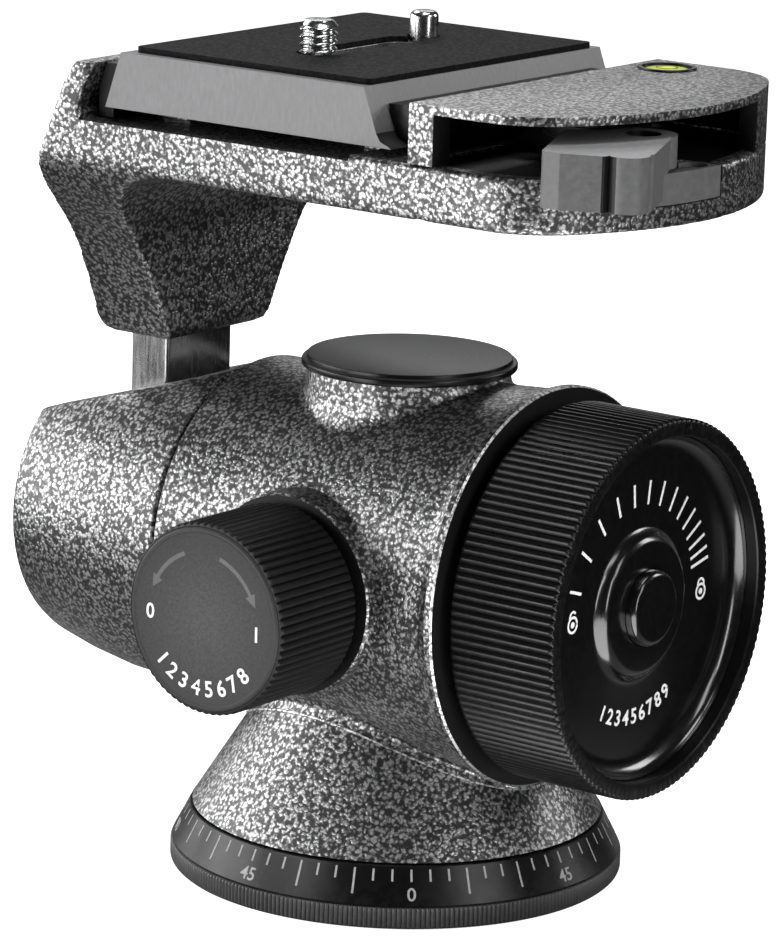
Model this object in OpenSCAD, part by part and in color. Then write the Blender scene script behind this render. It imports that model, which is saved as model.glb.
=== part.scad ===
// Off-centre ball head with a quick-release platform.
// Millimetres, +Z up. The origin is the centre of the base's underside, where
// the tripod screw enters. +X runs along the barrel towards the tilt lock knob,
// -Y points at the pan lock knob.

/* [Base] */
// Radius of the knurled foot of the base dial
base_r = 38.3; // [38:0.1:40]
// Height of the knurled band
knurl_h = 4.1; // [3:0.1:5]
// Radius at the top of the dial's cone
dial_top_r = 34.9; // [34.5:0.1:36]
// Height of the dial
dial_h = 10.1; // [10.1:0.1:10.3]
// Wall radius of the tripod thread (3/8 inch)
tripod_r = 4.7625; // [4.7:0.0125:4.8]

/* [Housing] */
// Height of the barrel axis above the base's underside
axis_z = 53.3; // [53:0.1:54]
// Height of the pan lock axis
pan_z = 52.6; // [52:0.1:53.3]
// Radius of the barrel at the drum seam
seam_r = 29.6; // [29.5:0.1:30.2]
// Radius of the barrel at the tilt knob
collar_r = 33.2; // [33:0.1:34.5]
// Radius of the top cap
cap_r = 18; // [17.8:0.1:19]
// Height of the top cap's face
cap_z = 87.84; // [87:0.1:89]

/* [Knobs] */
// Radius of the pan lock knob
pan_knob_r = 15.75; // [15.6:0.05:16]
// Distance of the pan knob's face from the pan axis
pan_face = 53.2; // [53.1:0.05:54]
// Radius of the tilt lock knob
tilt_knob_r = 31.3; // [30.5:0.1:32]
// Distance of the tilt knob's rim from the pan axis
tilt_face = 52.2; // [52:0.05:53]

/* [Ball] */
// Radius of the ball
ball_r = 14; // [13.5:0.1:14]
// Distance of the ball's centre from the pan axis
ball_x = -49; // [-49.2:0.1:-48.8]
// Thickness of the flat stem
stem_t = 8.2; // [8:0.1:8.6]
// Width of the flat stem
stem_w = 17.4; // [17:0.1:17.8]
// Tilt of the flat around the stem, in degrees
flat_tilt = 16.9; // [15:0.1:17]

/* [Platform] */
// Height of the tray's top
tray_z = 126.8; // [126.6:0.1:127]
// Height of the tray's underside
tray_low = 117.9; // [117.5:0.1:118]
// Half of the tray's width
tray_w = 34.5; // [34:0.1:35]
// Radius of the rounded nose
nose_r = 52; // [51.8:0.1:52.2]
// Distance of the nose's centre from the pan axis
nose_x = 6.2; // [6:0.1:6.4]
// Height of the clamp's deck
deck_z = 136.4; // [136.3:0.1:136.8]
// Height of the camera pad's face
pad_z = 138.5; // [138.4:0.1:138.8]
// Radius of the camera screw (1/4 inch)
screw_r = 3.175; // [3.1:0.025:3.2]

/* [Hidden] */
$fn = 96;

pin = [51.6, -10.4];         // lever pivot in plan
catch = [55, -1.2];          // safety catch pivot in plan
level = [31, 26.7];          // bubble level in plan
plate_x = -10.2;             // line of the camera screw and the anti-twist pin
screw_y = -13.8;
neck_r = screw_r - 0.575;     // neck of the camera screw below its thread
twist_y = 15;
plate_low = 128.2;
plate_top = 137.5;
arm_low = 85.7;
slot_t = stem_t / 2 + 0.45;  // half of the slot's thickness
lever_z0 = 127.2;
lever_z1 = 131.5;
tab_z0 = 123.5;
jaw_end = pin[0] - 7.4;
step_x = 12.3;               // the tray's floor is lower on the lip's side of this line
step_h = 1;
black = [0.06, 0.06, 0.065];
grey = [0.36, 0.37, 0.38];
satin = [0.48, 0.49, 0.51];
steel = [0.72, 0.73, 0.75];
brass = [0.72, 0.55, 0.25];

// Bodies of revolution: profiles are [radius, place along the axis]
module rz(p) { rotate_extrude() polygon(p); }
module rx(p) { translate([0, 0, axis_z]) rotate([0, 90, 0]) rotate_extrude() polygon(p); }
module ry(p) { translate([0, 0, pan_z]) rotate([-90, 0, 0]) rotate_extrude() polygon(p); }
module at_ball() { translate([ball_x, 0, axis_z]) children(); }
module slab(z0, z1) { translate([0, 0, z0]) linear_extrude(z1 - z0) children(); }
module side(y0, y1) { translate([0, y1, 0]) rotate([90, 0, 0]) linear_extrude(y1 - y0) children(); }

// A coil of round wire along +Z, as one swept tube
function coil_p(r, h, n, t) = [r * cos(360 * n * t), r * sin(360 * n * t), h * t];
module coil(r, h, n, w) {
  steps = ceil(n * 14);
  m = 6;
  pts = [for (i = [0:steps]) let (t = i / steps, c = coil_p(r, h, n, t), a = 360 * n * t)
    for (j = [0:m - 1]) let (b = 360 * j / m)
      [c[0] + w * cos(b) * cos(a), c[1] + w * cos(b) * sin(a), c[2] + w * sin(b)]];
  walls = [for (i = [0:steps - 1]) for (j = [0:m - 1]) let (k = (j + 1) % m)
    [i * m + j, (i + 1) * m + j, (i + 1) * m + k, i * m + k]];
  ends = [[for (j = [0:m - 1]) j], [for (j = [m - 1:-1:0]) steps * m + j]];
  polyhedron(pts, concat(walls, ends), convexity = 10);
}

// ---- Base ----
module base_dial() color(black) difference() {
  rz([[6.5, 0], [base_r - 0.5, 0], [base_r, 0.5], [base_r, knurl_h], [dial_top_r, dial_h],
      [32, dial_h], [32, 8.6], [6.5, 8.6]]);
  for (a = [90, 210, 330]) rotate(a) translate([17, 0, 0]) {
    translate([0, 0, -1]) cylinder(r = 3.7, h = 5.9);
    cylinder(r = 2.1, h = 12);
  }
}
module tripod_bush() color(steel) rz([[tripod_r, 0], [6.48, 0], [6.48, 14], [tripod_r, 14]]);
module pan_spindle() color(steel) difference() {
  rz([[0, 22], [5.2, 22], [5.2, 14.6], [6.6, 14.6], [6.6, 8.62], [24, 8.62], [24, 11.6], [9, 11.6],
      [9, 32.3], [6, 32.3], [6, 42], [0, 42]]);
  for (a = [90, 210, 330]) rotate(a) translate([17, 0, 8]) cylinder(r = 2.02, h = 5);
}
module spindle_screws() color(steel) for (a = [90, 210, 330]) rotate(a) translate([17, 0, 0]) difference() {
  union() {
    translate([0, 0, 1.2]) cylinder(r = 3.5, h = 3.65);
    translate([0, 0, 4]) cylinder(r = 2, h = 7.4);
  }
  translate([0, 0, 0.5]) cylinder(r = 1.7, h = 2.6, $fn = 6);
}
module thrust_washer() color("whitesmoke") rz([[24.4, 8.65], [31.6, 8.65], [31.6, 10], [24.4, 10]]);
module spindle_washer() color(steel) rz([[6.1, 32.35], [12.4, 32.35], [12.4, 34], [6.1, 34]]);
module spindle_nut() color(steel) difference() {
  translate([0, 0, 34.05]) cylinder(r = 10.9, h = 6.5, $fn = 6);
  translate([0, 0, 30]) cylinder(r = 6.02, h = 20);
}

// ---- Housing ----
module housing() color(grey) difference() {
  union() {
    rx([[0, -30.5], [seam_r - 0.4, -30.5], [seam_r, -30.1], [29.8, -15], [30.6, 0], [31.5, 15], [32.3, 27.2],
        [collar_r, 28.8], [collar_r, 29.9], [collar_r - 0.4, 30.3], [0, 30.3]]);
    rz([[0, 10.05], [31.8, 10.05], [31.8, 10.4], [dial_top_r - 0.2, 10.4], [16, 40.4], [0, 40.4]]);
    rz([[0, 60], [21, 60], [20, 75.6], [17.9, 78.4], [17.2, 80.4], [16.9, 85.85], [0, 85.85]]);
    ry([[0, -32], [16.3, -32], [16.7, -31.6], [16.7, -5], [0, -5]]);
  }
  // bearing for the drum's spigot, inner room, seat of the lock bush
  rx([[0, -31], [20.05, -31], [20.05, -18], [25, -18], [25, 20], [11, 20], [11, 33], [0, 33]]);
  // spindle flange, bush seat and nut room
  rz([[0, 9], [24.6, 9], [24.6, 12.2], [10.9, 12.2], [10.9, 32], [15, 32], [15, 53], [0, 53]]);
  // access hole under the cap
  rz([[0, 60], [12, 60], [12, 90], [0, 90]]);
  // pan lock screw and brake plunger
  ry([[0, -34], [5.05, -34], [5.05, -18], [0, -18]]);
  translate([0, -17, 9]) cylinder(r = 4.05, h = 40);
}
module top_cap() color(black) rz([[0, 76.5], [11.95, 76.5], [11.95, 85.9], [cap_r - 0.4, 85.9],
  [cap_r, 86.2], [cap_r, cap_z - 0.85], [cap_r - 1, cap_z], [0, cap_z]]);
module pan_bush() color(brass) rz([[9.05, 12.4], [10.88, 12.4], [10.88, 31.9], [9.05, 31.9]]);
module tilt_lock_bush() color(brass) rx([[6.06, 20.2], [10.98, 20.2], [10.98, 30.1], [6.06, 30.1]]);

// ---- Pan lock ----
module pan_knob_grip() color(black) ry([[5, -33.2], [pan_knob_r - 0.4, -33.2], [pan_knob_r, -33.6],
  [pan_knob_r, -52.3], [pan_knob_r - 0.4, -52.8], [15.1, -52.8], [15.1, -51.6], [5, -51.6]]);
module pan_knob_face() color([0.17, 0.17, 0.18]) ry([[0, -51.62], [15.05, -51.62], [15.05, 0.3 - pan_face],
  [14.75, -pan_face], [0, -pan_face]]);
module pan_lock_screw() color(steel) ry([[0, -51.6], [4.98, -51.6], [4.98, -20.5], [1.2, -15.8], [0, -15.8]]);
module pan_brake_plunger() color(steel) translate([0, -17, 11.75]) union() {
  cylinder(r = 4, h = 33.2);
  translate([0, 0, 33.2]) cylinder(r1 = 4, r2 = 2.4, h = 1.5);
}

// ---- Tilt lock ----
module tilt_knob_grip() color(black) rx([[6.02, 36], [10, 36], [10, 43.5], [28.5, 43.5], [28.5, 32.3],
  [tilt_knob_r - 0.4, 32.3], [tilt_knob_r, 32.7], [tilt_knob_r, tilt_face - 0.6], [tilt_knob_r - 0.6, tilt_face],
  [27.3, tilt_face], [27.3, 46], [6.02, 46]]);
module tilt_knob_face() color(black) rx([[6.4, 46.05], [27.25, 46.05], [27.25, 50.4], [25.6, 49], [15.2, 48],
  [14.2, 49.2], [11.6, 49.2], [9.4, 48], [6.4, 48]]);
module tilt_knob_button() color(black) rx([[0, 46.3], [6.3, 46.3], [6.3, 50.4], [5.7, 51.1], [0, 51.1]]);
module tilt_lock_screw() color(steel) rx([[0, 10], [5.4, 10], [6, 10.6], [6, 46], [0, 46]]);
module thrust_rod() color(steel) rx([[0, -23.98], [4.5, -23.98], [4.5, 0], [9, 0], [9, 3], [4.5, 3], [4.5, 8.6], [0, 8.6]]);
module disc_springs() color(steel) for (i = [0:2]) rx([for (q = [[4.8, 0], [8.8, 0.6], [8.8, 1.3], [4.8, 0.7]]) [q[0], q[1] + 3.15 + 1.6 * i]]);
module ball_seat() color(brass) difference() {
  rx([[0, -40.5], [ball_r + 0.22, -40.5], [ball_r + 0.22, -24], [0, -24]]);
  at_ball() sphere(r = ball_r + 0.12);
}

// ---- Drum ----
module ball_drum() color(grey) difference() {
  rx([[0, -16.97], [20, -16.97], [20, -30.8], [seam_r - 0.5, -30.8], [seam_r - 0.1, -31.2], [28.5, -48.5], [25.6, -63.6],
      [24.7, -65.6], [23, -66.4], [0, -66.4]]);
  // sloping flat around the stem
  translate([ball_x, 0, 76.2]) rotate([0, -flat_tilt, 0]) translate([-60, -50, 0]) cube([110, 100, 40]);
  // socket and the bore behind it
  at_ball() rotate([0, 90, 0]) sphere(r = ball_r + 0.06);
  rx([[0, ball_x + 1], [ball_r + 0.3, ball_x + 1], [ball_r + 0.3, -16], [0, -16]]);
  // slot for the stem, from a little inboard of upright to level
  at_ball() side(-9.2, 9.2) polygon([[-30, -slot_t], [-0.5, -slot_t], [slot_t * cos(12.6), -slot_t * sin(12.6)],
    [slot_t * cos(12.6) + 45 * sin(12.6), 45 * cos(12.6)], [-30, 45]]);
  // screws of the retaining flange
  for (a = [45:90:315]) translate([0, 0, axis_z]) rotate([a, 0, 0]) translate([-28, 17, 0]) rotate([0, 90, 0]) cylinder(r = 1.52, h = 20);
}
module drum_flange() color(steel) difference() {
  rx([[4.6, -16.95], [24, -16.95], [24, -12.95], [4.6, -12.95]]);
  for (a = [45:90:315]) translate([0, 0, axis_z]) rotate([a, 0, 0]) translate([-20, 17, 0]) rotate([0, 90, 0]) {
    cylinder(r = 1.6, h = 20);
    translate([0, 0, 4.75]) cylinder(r = 2.9, h = 10);
  }
}
module drum_flange_screws() color(steel) for (a = [45:90:315]) translate([0, 0, axis_z]) rotate([a, 0, 0])
  translate([-15.2, 17, 0]) rotate([0, 90, 0]) difference() {
    union() {
      cylinder(r = 2.7, h = 2.2);
      translate([0, 0, -12]) cylinder(r = 1.5, h = 13);
    }
    translate([0, 0, 0.9]) cylinder(r = 1.3, h = 2, $fn = 6);
  }
module drum_friction_washer() color([0.35, 0.28, 0.2]) rx([[20.3, -17.95], [24, -17.95], [24, -17], [20.3, -17]]);

// ---- Ball, arm and tray ----
module stem2d(g = 0) {
  e = 2;
  for (s = [-1, 1]) for (q = [-1, 1]) translate([s * (stem_t / 2 - e), q * (stem_w / 2 - e)]) circle(r = e + g);
  square([stem_t + 2 * g, stem_w - 2 * e], center = true);
  square([stem_t - 2 * e, stem_w + 2 * g], center = true);
}
module ball_stem() color(steel) difference() {
  at_ball() union() {
    sphere(r = ball_r);
    translate([0, 0, 4]) linear_extrude(46.7) stem2d();
  }
  for (z = [91, 100.5]) translate([-60, 0, z]) rotate([0, 90, 0]) cylinder(r = 2.55, h = 30);
}
module stem_bolts() color(black) for (z = [91, 100.5]) translate([0, 0, z]) rotate([0, 90, 0]) difference() {
  union() {
    translate([0, 0, -55.9]) cylinder(r = 2.5, h = 13.5);
    translate([0, 0, -55.9]) cylinder(r = 4.1, h = 1.9);
  }
  translate([0, 0, -57]) cylinder(r = 2, h = 2.2, $fn = 6);
}
module nose2d(g = 0) {
  intersection() {
    translate([nose_x, 0]) circle(r = nose_r - g, $fn = 160);
    translate([0, g - tray_w]) square([70, 2 * (tray_w - g)]);
  }
  translate([-25, g - tray_w]) square([60, 2 * (tray_w - g)]);
}
module tray2d() {
  e = 6;
  nose2d();
  translate([-57 + e, -tray_w]) square([40, 2 * tray_w]);
  translate([-57, -tray_w + e]) square([40, 2 * (tray_w - e)]);
  for (s = [-1, 1]) translate([-57 + e, s * (tray_w - e)]) circle(r = e);
}
arm_side = concat(
  [[-41.6, 135.4], [-44.9, 135.4], [-45.7, 134.9], [-52.6, 118.6], [-53.4, 115.2], [-56.4, 89], [-56.2, 87], [-54.6, arm_low],
   [-42.4, arm_low], [-40.8, 86.6], [-40.5, 88]],
  [for (a = [180:-9:90]) [-26.5 + 14 * cos(a), tray_low - 14 + 14 * sin(a)]],
  [[60, tray_low], [60, tray_z], [-44.5, tray_z]]);
arm_half = [[11.6, arm_low], [12.9, 86.4], [13.6, 87.6], [16.9, 94.3], [20.9, 102.5], [23.2, 107.5], [27.2, 112.4], [31.6, 116.2],
  [33.9, 118.6], [tray_w, 120.4], [tray_w, 131], [33, 137]];
arm_front = concat(arm_half, [for (i = [len(arm_half) - 1:-1:0]) [-arm_half[i][0], arm_half[i][1]]]);
module platform_arm() color(grey) difference() {
  union() {
    intersection() {
      side(-40, 40) polygon(arm_side);
      slab(80, 140) tray2d();
      rotate([90, 0, 90]) translate([0, 0, -70]) linear_extrude(140) polygon(arm_front);
    }
  }
  // lower floor between the lip and the clamp, with lands that carry the plate
  difference() {
    translate([-43.9, -50, tray_z - step_h]) cube([43.9 + step_x, 100, 20]);
    translate([-70, -50, tray_z - step_h - 1]) side(-1, 101) polygon([[0, 0], [26.16, 0], [30, 13.5], [0, 13.5]]);
    for (x = [-36, 6]) translate([x, -22, tray_z - step_h - 1]) cube([6, 44, plate_low - 0.1 - tray_z + step_h + 1]);
  }
  // socket of the stem and its cross bolts
  translate([ball_x, 0, arm_low - 1]) linear_extrude(19.5) stem2d(0.05);
  for (z = [91, 100.5]) translate([0, 0, z]) rotate([0, 90, 0]) {
    translate([0, 0, -60]) cylinder(r = 2.55, h = 17.7);
    translate([0, 0, -60]) cylinder(r = 4.2, h = 6.05);
  }
  // lever pin, catch pin, room for the safety catch, clamp screws
  translate([pin[0], pin[1], 119]) cylinder(r = 2.02, h = 20);
  translate([catch[0], catch[1], 119]) cylinder(r = 1.62, h = 20);
  translate([50.5, -15.9, 121.4]) cube([30, 18.5, 10]);
  for (s = [-1, 1]) translate([26.2, s * 31.9, 0]) {
    translate([0, 0, 110]) cylinder(r = 2.2, h = 11.4);
    translate([0, 0, 110]) cylinder(r = 1.6, h = 20);
  }
}
module clamp_cover() color(grey) difference() {
  union() {
    slab(deck_z - 1.4, deck_z) intersection() { nose2d(); translate([23.9, -50]) square([60, 100]); }
    difference() {
      slab(tray_z + 0.05, deck_z - 1) intersection() {
        difference() { nose2d(); nose2d(3.2); }
        translate([23.9, -50]) square([60, 100]);
      }
      // open slot around the nose
      translate([28.6, -50, 120]) cube([60, 66, deck_z - 1.4 - 120]);
    }
    slab(tray_z + 0.05, deck_z - 1) for (s = [-1, 1]) translate([23.9, s > 0 ? 30 : -tray_w]) square([4.7, tray_w - 30]);
    translate([level[0], level[1], 131]) cylinder(r = 6.4, h = 4.5);
  }
  translate([level[0], level[1], 120]) cylinder(r = 4.95, h = 30);
  for (s = [-1, 1]) translate([26.2, s * 31.9, 120]) cylinder(r = 1.42, h = 11.6);
}
module cover_screws() color(black) for (s = [-1, 1]) translate([26.2, s * 31.9, 0]) difference() {
  union() {
    translate([0, 0, 119.2]) cylinder(r = 2.1, h = 2.15);
    translate([0, 0, 120.5]) cylinder(r = 1.4, h = 10.7);
  }
  translate([0, 0, 119]) cylinder(r = 1.2, h = 1.4, $fn = 6);
}
module jaw_liner() color(black) side(-30, 30) polygon([[-43.1, 125.9], [-39.8, 125.9], [-39.8, 128.3], [-37.45, 135.1], [-41.55, 135.1], [-43.1, 130.4]]);
module lever_pin() color(steel) translate([pin[0], pin[1], 119.05]) cylinder(r = 2, h = 11.2);
module level_bezel() color(black) translate([level[0], level[1], 0]) rz([[0, 131.2], [4.9, 131.2], [4.9, 136.5], [4.7, 136.75],
  [4.3, 136.75], [4.12, 136.5], [4.12, 132], [0, 132]]);
module level_vial() color([0.75, 0.85, 0.2, 0.8]) translate([level[0], level[1], 0]) rz([[0, 132.05], [4.08, 132.05], [4.08, 136.3], [2.4, 136.55], [0, 136.6]]);

// ---- Clamp ----
module lever2d() {
  polygon([[49.9, -35.4], [50.7, -35.9], [53.5, -35.8], [59.8, -33.1], [60.0, -31.6], [64.4, -26.5], [57.8, -12.1], [52.6, -6.1],
           [47.2, -9.1], [45, -12.9], [40.8, -16.3]]);
  translate([61.6, -29.1]) circle(r = 3.3);
  translate(pin) circle(r = 5.4);
  translate([pin[0] + 2.3 * cos(210), pin[1] + 2.3 * sin(210)]) circle(r = 5.2);
}
module qr_lever() color(satin) difference() {
  union() {
    slab(lever_z0, lever_z1) lever2d();
    slab(tab_z0, lever_z0 + 0.5) difference() {
      intersection() { lever2d(); translate([40, -50]) square([40, 33]); }
      translate([nose_x, 0]) circle(r = nose_r + 0.6, $fn = 160);
    }
  }
  translate([pin[0], pin[1], 120]) cylinder(r = 2.04, h = 20);
  translate([pin[0], pin[1], 130.3]) cylinder(r = 2.7, h = 5);
  translate([pin[0], pin[1], 120]) cylinder(r = 3.9, h = 9.4);
}
module lever_spring() color(steel) translate([pin[0], pin[1], 127.7]) coil(3, 1.2, 2, 0.2);
module clamp_jaw() color(black) {
  side(-28, 28) polygon([[19.7, 127.2], [19.7, 128.7], [17.5, 129.5], [16.65, 130.6], [15, 134.6], [22.2, 134.6], [23, 133.8], [23, 127.2]]);
  translate([22.5, -8.5, 127.4]) cube([jaw_end - 22.5, 13, 3.9]);
}
module catch2d() {
  intersection() {
    translate([nose_x, 0]) difference() {
      circle(r = nose_r + 0.05, $fn = 160);
      circle(r = nose_r - 2.7, $fn = 160);
    }
    translate([45, -15.2]) square([20, 15.2 + catch[1]]);
  }
  translate(catch) circle(r = 3.4);
  intersection() {
    translate([nose_x, 0]) circle(r = nose_r + 0.05, $fn = 160);
    translate(catch) square([5, 3.4]);
  }
  intersection() {
    translate([nose_x, 0]) circle(r = nose_r + 0.05, $fn = 160);
    translate([catch[0], catch[1] - 3]) square([5, 3.1]);
  }
}
module safety_catch() color(satin) difference() {
  slab(121.6, 126.6) catch2d();
  translate([catch[0], catch[1], 110]) cylinder(r = 1.64, h = 30);
  translate([catch[0], catch[1], 125.5]) cylinder(r = 2.4, h = 5);
  translate([catch[0], catch[1], 120]) cylinder(r = 2.7, h = 3.8);
}
module catch_pin() color(steel) translate([catch[0], catch[1], 119.05]) cylinder(r = 1.6, h = 6.4);
module catch_spring() color(steel) translate([catch[0], catch[1], 122]) coil(2.15, 1.2, 2, 0.2);

// ---- Plate ----
module slot2d(y0, y1, r) {
  for (y = [y0, y1]) translate([plate_x, y]) circle(r = r);
  translate([plate_x - r, y0]) square([2 * r, y1 - y0]);
}
module qr_plate() color(satin) difference() {
  side(-32.6, 32.6) polygon([[-39.4, plate_low], [19.2, plate_low], [18.6, 128.6], [17, 129.2], [16.2, 130.4], [13.5, plate_top], [-36.3, plate_top]]);
  slab(120, 150) slot2d(screw_y, screw_y + 8, 3.4);
  slab(134.4, 150) slot2d(screw_y, 9, 3.4);
  slab(120, 133.6) slot2d(screw_y, screw_y + 8, 8.4);
  translate([plate_x, twist_y, 120]) cylinder(r = 2.46, h = 30);
  translate([plate_x, twist_y, 120]) cylinder(r = 3.5, h = 13.6);
}
module plate_pad() color([0.05, 0.05, 0.05]) slab(plate_top + 0.02, pad_z) difference() {
  translate([-34.8, -30.7]) square([48.1, 61.4]);
  slot2d(screw_y, 9, 3.6);
  translate([plate_x, twist_y]) circle(r = 2.9);
}
module camera_screw() color(steel) translate([plate_x, screw_y, 0]) difference() {
  rz([[0, 129.2], [7.5, 129.2], [8, 129.7], [8, 131.8], [7.5, 132.3], [neck_r, 132.3], [neck_r, pad_z], [screw_r, pad_z], [screw_r, 143.4], [screw_r - 0.7, 144], [0, 144]]);
  translate([-10, -0.9, 128]) cube([20, 1.8, 2.6]);
}
module screw_retainer() color(steel) translate([plate_x, screw_y, 0]) rz([[neck_r + 0.06, 132.4], [7.6, 132.4], [7.6, 133.5], [neck_r + 0.06, 133.5]]);
module anti_twist_pin() color(steel) translate([plate_x, twist_y, 0]) rz([[0, 132.2], [3.3, 132.2], [3.3, 133.5], [2.4, 133.5], [2.4, 142.2], [1.8, 142.8], [0, 142.8]]);
module pin_spring() color(steel) translate([plate_x, twist_y, 129.15]) coil(2.3, 2.6, 3, 0.3);
module pin_plug() color(steel) translate([plate_x, twist_y, 128.25]) cylinder(r = 3.45, h = 0.5);

base_dial();
tripod_bush();
pan_spindle();
spindle_screws();
thrust_washer();
spindle_washer();
spindle_nut();
housing();
top_cap();
pan_bush();
tilt_lock_bush();
pan_knob_grip();
pan_knob_face();
pan_lock_screw();
pan_brake_plunger();
tilt_knob_grip();
tilt_knob_face();
tilt_knob_button();
tilt_lock_screw();
thrust_rod();
disc_springs();
ball_seat();
ball_drum();
drum_flange();
drum_flange_screws();
drum_friction_washer();
ball_stem();
stem_bolts();
platform_arm();
clamp_cover();
cover_screws();
jaw_liner();
lever_pin();
level_bezel();
level_vial();
qr_lever();
lever_spring();
clamp_jaw();
safety_catch();
catch_pin();
catch_spring();
qr_plate();
plate_pad();
camera_screw();
screw_retainer();
anti_twist_pin();
pin_spring();
pin_plug();
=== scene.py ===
"""Looks of an off-centre ball head with a quick-release platform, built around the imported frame.

Shapes are drawn in millimetres and scaled to metres when a piece is finished.
"""

import math

import bmesh
import bpy
import numpy as np
from mathutils import Matrix, Vector


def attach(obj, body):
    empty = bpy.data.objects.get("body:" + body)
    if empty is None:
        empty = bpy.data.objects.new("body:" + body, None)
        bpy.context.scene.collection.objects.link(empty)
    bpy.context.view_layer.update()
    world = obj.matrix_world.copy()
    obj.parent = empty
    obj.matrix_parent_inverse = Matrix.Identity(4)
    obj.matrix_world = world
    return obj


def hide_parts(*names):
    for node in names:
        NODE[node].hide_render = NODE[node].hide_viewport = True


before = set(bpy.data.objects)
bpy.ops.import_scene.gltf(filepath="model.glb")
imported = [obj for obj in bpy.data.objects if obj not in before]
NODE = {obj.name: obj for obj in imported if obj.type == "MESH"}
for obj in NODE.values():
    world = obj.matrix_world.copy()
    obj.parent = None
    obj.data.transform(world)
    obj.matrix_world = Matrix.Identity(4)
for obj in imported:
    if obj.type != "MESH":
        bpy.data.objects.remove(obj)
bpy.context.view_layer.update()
scene = bpy.context.scene
AXIS_Z, PAN_Z = 53.3, 52.6
RAD = math.radians


# ---------------------------------------------------------------- outlines
def rnd(pts, r, seg=5):
    """Rounds the corners of a closed outline; r is one radius or one per corner."""
    out, n = [], len(pts)
    for i in range(n):
        ri = r[i] if isinstance(r, (list, tuple)) else r
        a, b, c = (np.array(pts[k % n], float) for k in (i - 1, i, i + 1))
        u, v = a - b, c - b
        lu, lv = np.linalg.norm(u), np.linalg.norm(v)
        u, v = u / lu, v / lv
        ang = math.acos(max(-1.0, min(1.0, float(u @ v))))
        if ri <= 0 or ang > math.pi - 0.03 or ang < 0.03:
            out.append(tuple(b))
            continue
        d = min(ri / math.tan(ang / 2), 0.48 * lu, 0.48 * lv)
        rr = d * math.tan(ang / 2)
        m = (u + v) / np.linalg.norm(u + v)
        cen = b + m * (rr / math.sin(ang / 2))
        s, e = b + u * d - cen, b + v * d - cen
        a0 = math.atan2(s[1], s[0])
        da = (math.atan2(e[1], e[0]) - a0 + math.pi) % (2 * math.pi) - math.pi
        for k in range(seg + 1):
            t = a0 + da * k / seg
            out.append((cen[0] + rr * math.cos(t), cen[1] + rr * math.sin(t)))
    return out


def turn(pts, r, seg=4):
    """rnd() for a profile whose points on the axis must stay."""
    n = len(pts)
    rs = [r[i] if isinstance(r, (list, tuple)) else r for i in range(n)]
    return rnd(pts, [0 if pts[i][0] < 1e-6 else rs[i] for i in range(n)], seg)


def arc(cx, cy, r, a0, a1, n):
    return [(cx + r * math.cos(RAD(a0 + (a1 - a0) * k / n)), cy + r * math.sin(RAD(a0 + (a1 - a0) * k / n))) for k in range(n + 1)]


def spline(pts, per=5):
    """Catmull-Rom through open points."""
    p = [np.array(q, float) for q in pts]
    p = [2 * p[0] - p[1]] + p + [2 * p[-1] - p[-2]]
    out = []
    for i in range(1, len(p) - 2):
        for k in range(per):
            t = k / per
            out.append(tuple(0.5 * (2 * p[i] + (p[i + 1] - p[i - 1]) * t + (2 * p[i - 1] - 5 * p[i] + 4 * p[i + 1] - p[i + 2]) * t * t
                                    + (3 * p[i] - p[i - 1] - 3 * p[i + 1] + p[i + 2]) * t ** 3)))
    out.append(tuple(p[-2]))
    return out


# ---------------------------------------------------------------- solids, in millimetres
def solid(verts, faces):
    me = bpy.data.meshes.new("tmp")
    me.from_pydata([tuple(map(float, v)) for v in verts], [], [tuple(int(i) for i in f) for f in faces])
    bm = bmesh.new()
    bm.from_mesh(me)
    bmesh.ops.remove_doubles(bm, verts=bm.verts[:], dist=1e-5)
    bmesh.ops.recalc_face_normals(bm, faces=bm.faces[:])
    bm.to_mesh(me)
    bm.free()
    o = bpy.data.objects.new("tmp", me)
    scene.collection.objects.link(o)
    return o


def along(axis, o, a, b, t):
    """Points with a, b across the axis and t along it."""
    x0, y0, z0 = o
    if axis == "z":
        return np.stack([x0 + a, y0 + b, z0 + t], -1)
    if axis == "x":
        return np.stack([x0 + t, y0 + a, z0 + b], -1)
    return np.stack([x0 + a, y0 + t, z0 + b], -1)


def lathe(prof, n=128, axis="z", o=(0, 0, 0), ribs=0, depth=None, sharp=1.0, phase=0.0):
    """A closed outline of (radius, place) turned about an axis. depth is how deep the ribs cut at each point."""
    per = max(1, n // ribs) if ribs else 1
    n = per * ribs if ribs else n
    th = np.arange(n) * 2 * math.pi / n + phase
    wave = 1 - np.abs(np.sin(np.arange(n) * math.pi / per)) ** sharp if ribs else np.zeros(n)
    verts, idx, count = [], [], 0
    for k, (r, t) in enumerate(prof):
        if r < 1e-6:
            verts.append(along(axis, o, np.zeros(1), np.zeros(1), np.full(1, t)))
            idx.append(np.full(n, count))
            count += 1
        else:
            rr = r - (depth[k] * wave if depth is not None else 0)
            verts.append(along(axis, o, rr * np.cos(th), rr * np.sin(th), np.full(n, t)))
            idx.append(np.arange(count, count + n))
            count += n
    faces = []
    for k in range(len(prof)):
        a, b = idx[k], idx[(k + 1) % len(prof)]
        ra, rb = prof[k][0] < 1e-6, prof[(k + 1) % len(prof)][0] < 1e-6
        if ra and rb:
            continue
        for i in range(n):
            j = (i + 1) % n
            faces.append((a[i], b[i], b[j]) if ra else (a[i], b[i], a[j]) if rb else (a[i], b[i], b[j], a[j]))
    return solid(np.concatenate(verts), faces)


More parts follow.
